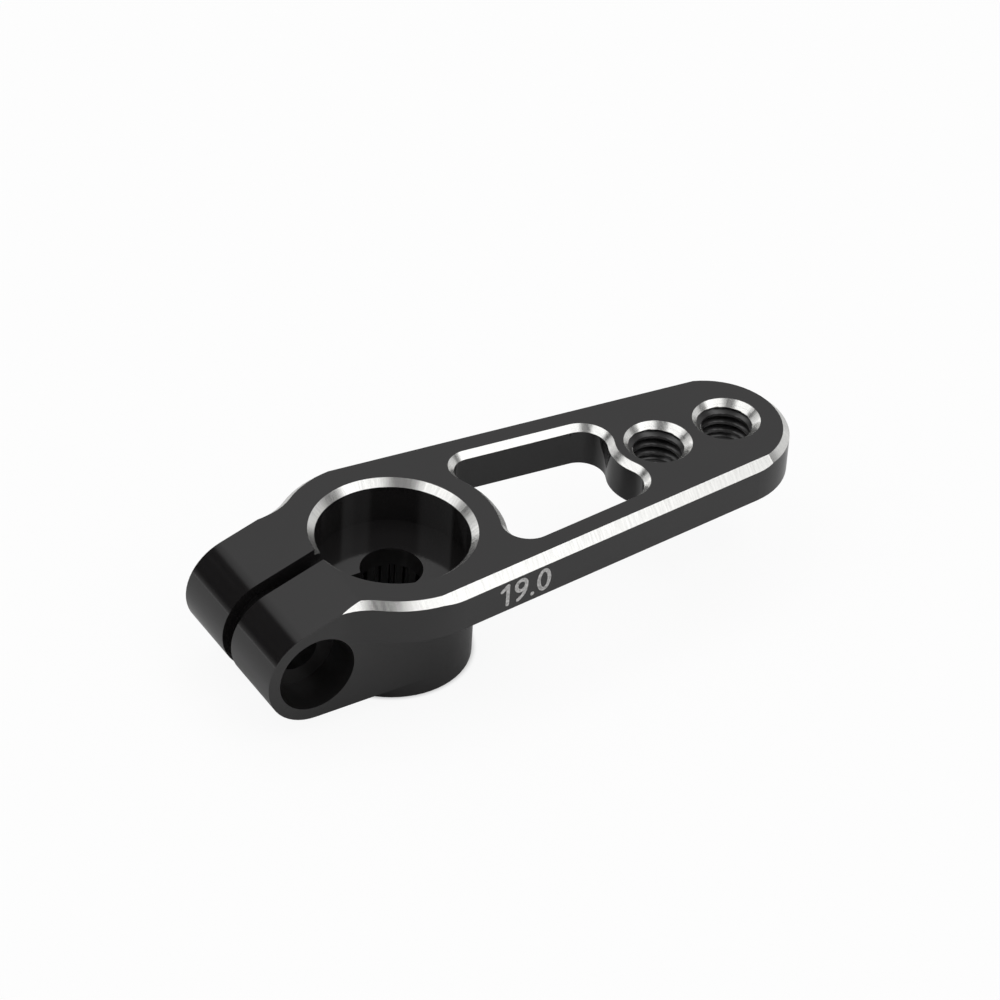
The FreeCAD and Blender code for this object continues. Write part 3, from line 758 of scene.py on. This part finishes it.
@dataclass
class Studio:
    """A pale floor under a dome of soft light."""

    floor_size: float = 6.0
    horizon: float = 0.62
    dome: float = 0.49
    zenith: float = 1.3
    floor_white: float = 0.92
    floor_colour: float = 0.66
    boss_radius: float = 4.05
    arm_reach: float = 18.0
    clear_of_horn: float = 150.0
    patches: tuple[LightPatch, ...] = (
        LightPatch("right_panel", -70.0, 29.0, 50.0, 20.0, 4.0, 7.0, 1.12),
        LightPatch("left_panel", 172.0, 31.0, 45.0, 26.0, 4.0, 7.0, 1.12),
        LightPatch("right_strip", -50.0, 11.0, 38.0, 14.0, 4.0, 5.0, 1.43),
        LightPatch("far_panel", 88.0, 18.0, 3.0, 11.0, 6.0, 6.0, 1.1),
        LightPatch("ring_light", 0.0, 200.0, 63.0, 5.0, 4.0, 4.0, 2.4),
        LightPatch("gap_over_the_lens", -134.5, 25.0, 46.0, 28.0, 7.0, 6.0, 0.12),
        LightPatch("low_gap_over_the_lens", -108.0, 22.0, 34.0, 8.0, 4.0, 3.0, 0.12),
        LightPatch("gap_at_the_arm_end", -28.0, 12.0, 28.0, 14.0, 5.0, 5.0, 0.11),
        LightPatch("gap_overhead", 0.0, 200.0, 90.0, 18.0, 4.0, 6.0, 0.3),
        LightPatch("gap_past_the_arm", 12.0, 30.0, 42.0, 7.0, 6.0, 4.0, 0.12),
        LightPatch("high_gap_behind_the_clamp", 120.0, 21.0, 38.5, 5.5, 3.0, 2.0, 0.0),
        LightPatch("middle_gap_behind_the_clamp", 130.0, 7.0, 28.0, 10.0, 3.0, 3.0, 0.0),
        LightPatch("low_gap_behind_the_clamp", 137.5, 8.0, 14.0, 13.0, 4.0, 10.0, 0.0),
    )

    def world(self) -> None:
        """Lights the scene from all round, brighter overhead, with the panels and gaps."""
        world = bpy.data.worlds.new("studio_dome")
        world.use_nodes = True
        bpy.context.scene.world = world
        bench = NodeBench(world.node_tree)
        way = bench.add("ShaderNodeTexCoord").outputs["Generated"]
        parts = bench.add("ShaderNodeSeparateXYZ")
        bench.join(way, parts.inputs[0])
        x, y, z = parts.outputs
        azimuth = bench.maths("DEGREES", bench.maths("ARCTAN2", y, x))
        elevation = bench.maths("DEGREES", bench.maths("ARCSINE", z))
        level = bench.ramp(elevation, 14.0, 34.0, self.horizon, self.dome)
        level = bench.blend(bench.ramp(elevation, 40.0, 76.0), level, self.zenith)
        for patch in self.patches:
            turned = bench.maths("WRAP", bench.maths("SUBTRACT", azimuth, patch.azimuth), 180.0, -180.0)
            aside = bench.maths("ABSOLUTE", turned)
            above = bench.maths("ABSOLUTE", bench.maths("SUBTRACT", elevation, patch.elevation))
            wide = bench.ramp(aside, patch.half_width - patch.soft, patch.half_width + patch.soft, 1.0, 0.0)
            high = bench.ramp(above, patch.half_height - patch.fade, patch.half_height + patch.fade, 1.0, 0.0)
            level = bench.blend(bench.maths("MULTIPLY", wide, high), level, patch.level)
        sky = bench.add("ShaderNodeBackground")
        bench.join((1.0, 1.0, 1.0, 1.0), sky.inputs["Color"])
        bench.join(level, sky.inputs["Strength"])
        output = bench.add("ShaderNodeOutputWorld")
        bench.join(sky.outputs[0], output.inputs[0])

    def floor_material(self) -> bpy.types.Material:
        """The floor's finish: matt and white, and paler where it is only a backdrop.

        The camera sees it paler everywhere but under the horn's boss. Gloss sees it paler only
        clear of the horn, so that the horn mirrors the shade that it stands in.

        Returns:
            The material.
        """
        made = bpy.data.materials.new("pale_floor")
        made.use_nodes = True
        bench = NodeBench(made.node_tree)
        path = bench.add("ShaderNodeLightPath")
        camera = path.outputs["Is Camera Ray"]
        matt = bench.add("ShaderNodeBsdfDiffuse")
        pale = bench.blend_colour(camera, (*[self.floor_colour] * 3, 1.0), (0.98, 0.98, 0.98, 1.0))
        bench.join(pale, matt.inputs["Color"])
        white = bench.add("ShaderNodeEmission")
        bench.join((1.0, 1.0, 1.0, 1.0), white.inputs["Color"])
        bench.join(1.0, white.inputs["Strength"])
        _, x, y, _ = bench.place()
        hub = bench.reach(x, y)
        nearest = bench.maths("MINIMUM", bench.maths("MAXIMUM", x, 0.0), self.arm_reach)
        arm = bench.reach(bench.maths("SUBTRACT", x, nearest), y)
        bare = bench.ramp(hub, self.boss_radius - 0.3, self.boss_radius + 0.3)
        beyond = bench.ramp(arm, self.clear_of_horn, self.clear_of_horn * 2.0)
        mirrored = bench.maths("MAXIMUM", path.outputs["Is Glossy Ray"], path.outputs["Is Transmission Ray"])
        seen = bench.maths("MULTIPLY", camera, bare)
        seen = bench.maths("MAXIMUM", seen, bench.maths("MULTIPLY", mirrored, beyond))
        mix = bench.add("ShaderNodeMixShader")
        bench.join(bench.maths("MULTIPLY", seen, self.floor_white), mix.inputs[0])
        bench.join(matt.outputs[0], mix.inputs[1])
        bench.join(white.outputs[0], mix.inputs[2])
        output = bench.add("ShaderNodeOutputMaterial")
        bench.join(mix.outputs[0], output.inputs[0])
        return made

    def floor(self) -> bpy.types.Object:
        """Lays the floor under the horn's boss.

        Returns:
            The floor.
        """
        half = self.floor_size / MM / 2
        side = np.linspace(-half, half, 5)
        x, y = np.meshgrid(side, side, indexing="ij")
        points = np.stack([x, y, np.zeros_like(x)], axis=-1).reshape(-1, 3)
        piece = make_piece("floor", points, grid_faces(5, 5, False, False)[:, ::-1], self.floor_material())
        return piece


@dataclass(frozen=True)
class PhotoCamera:
    """The camera, where the photograph was taken from."""

    place: tuple[float, float, float] = (-94.9033, -152.1202, 147.8966)
    azimuth: float = -33.5475
    elevation: float = 37.7384
    roll: float = 3.6292
    lens: float = 172.813

    def build(self) -> bpy.types.Object:
        """Makes the camera and gives it to the scene.

        It looks back along the direction that its azimuth and elevation give, and is rolled
        about that direction.

        Returns:
            The camera.
        """
        turn, rise = math.radians(self.azimuth), math.radians(self.elevation)
        back = Vector((math.sin(turn) * math.cos(rise), -math.cos(turn) * math.cos(rise), math.sin(rise)))
        right = Vector((math.cos(turn), math.sin(turn), 0.0))
        axes = Matrix((right, back.cross(right), back)).transposed()
        data = bpy.data.cameras.new("photo_camera")
        data.lens = self.lens
        data.sensor_width = 36.0
        data.sensor_fit = "HORIZONTAL"
        data.clip_start = 0.005
        data.clip_end = 20.0
        camera = bpy.data.objects.new("photo_camera", data)
        rolled = axes @ Matrix.Rotation(math.radians(self.roll), 3, "Z")
        camera.matrix_world = Matrix.Translation(Vector(self.place) * MM) @ rolled.to_4x4()
        bpy.context.scene.collection.objects.link(camera)
        bpy.context.scene.camera = camera
        return camera


@dataclass
class HornDressing:
    """The horn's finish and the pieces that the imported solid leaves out."""

    finish: HornFinish = field(default_factory=HornFinish)
    mark: Engraved = field(default_factory=Engraved)
    number: ArmNumber = field(default_factory=ArmNumber)
    holes: tuple[TappedHole, ...] = (
        TappedHole("inner_linkage_thread", Axis.UP, (15.0, 0.0), 4.8, 7.0, 1.5, 0.5, 1.21, 1.7),
        TappedHole("outer_linkage_thread", Axis.UP, (19.0, 0.0), 4.8, 7.0, 1.5, 0.5, 1.21, 1.7),
        TappedHole("clamp_thread", Axis.BACK, (-6.34, 3.521), 0.425, 4.05, 1.0, 0.4, 0.8),
    )

    def dress(self, horn: bpy.types.Object) -> None:
        """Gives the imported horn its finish.

        Args:
            horn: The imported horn's object.
        """
        finish = self.finish.material("black_anodised_with_bright_cut")
        for slot in horn.material_slots:
            slot.link = "OBJECT"
            slot.material = finish

    def build(self) -> list[bpy.types.Object]:
        """Makes the threads and the number and lets them move with the horn.

        Returns:
            The pieces.
        """
        tapped = self.finish.material("anodised_thread", "bright_cut")
        pieces = [hole.build(tapped) for hole in self.holes]
        pieces.append(self.number.build(self.mark.material("laser_mark")))
        for piece in pieces:
            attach(piece, "root")
            log.info("piece %s: %d faces", piece.name, len(piece.data.polygons))
        return pieces


def main() -> None:
    """Loads the horn, dresses it, and sets the floor, the light and the camera."""
    logging.basicConfig(level=logging.INFO, format="%(name)s: %(message)s")
    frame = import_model()
    bpy.context.scene.view_settings.view_transform = "Standard"
    dressing = HornDressing()
    dressing.dress(frame["nodes"][HORN_NODE])
    log.info("dressed %s", HORN_NODE)
    dressing.build()
    studio = Studio()
    studio.world()
    studio.floor()
    log.info("laid the floor and lit the dome")
    PhotoCamera().build()


if __name__ == "__main__":
    main()
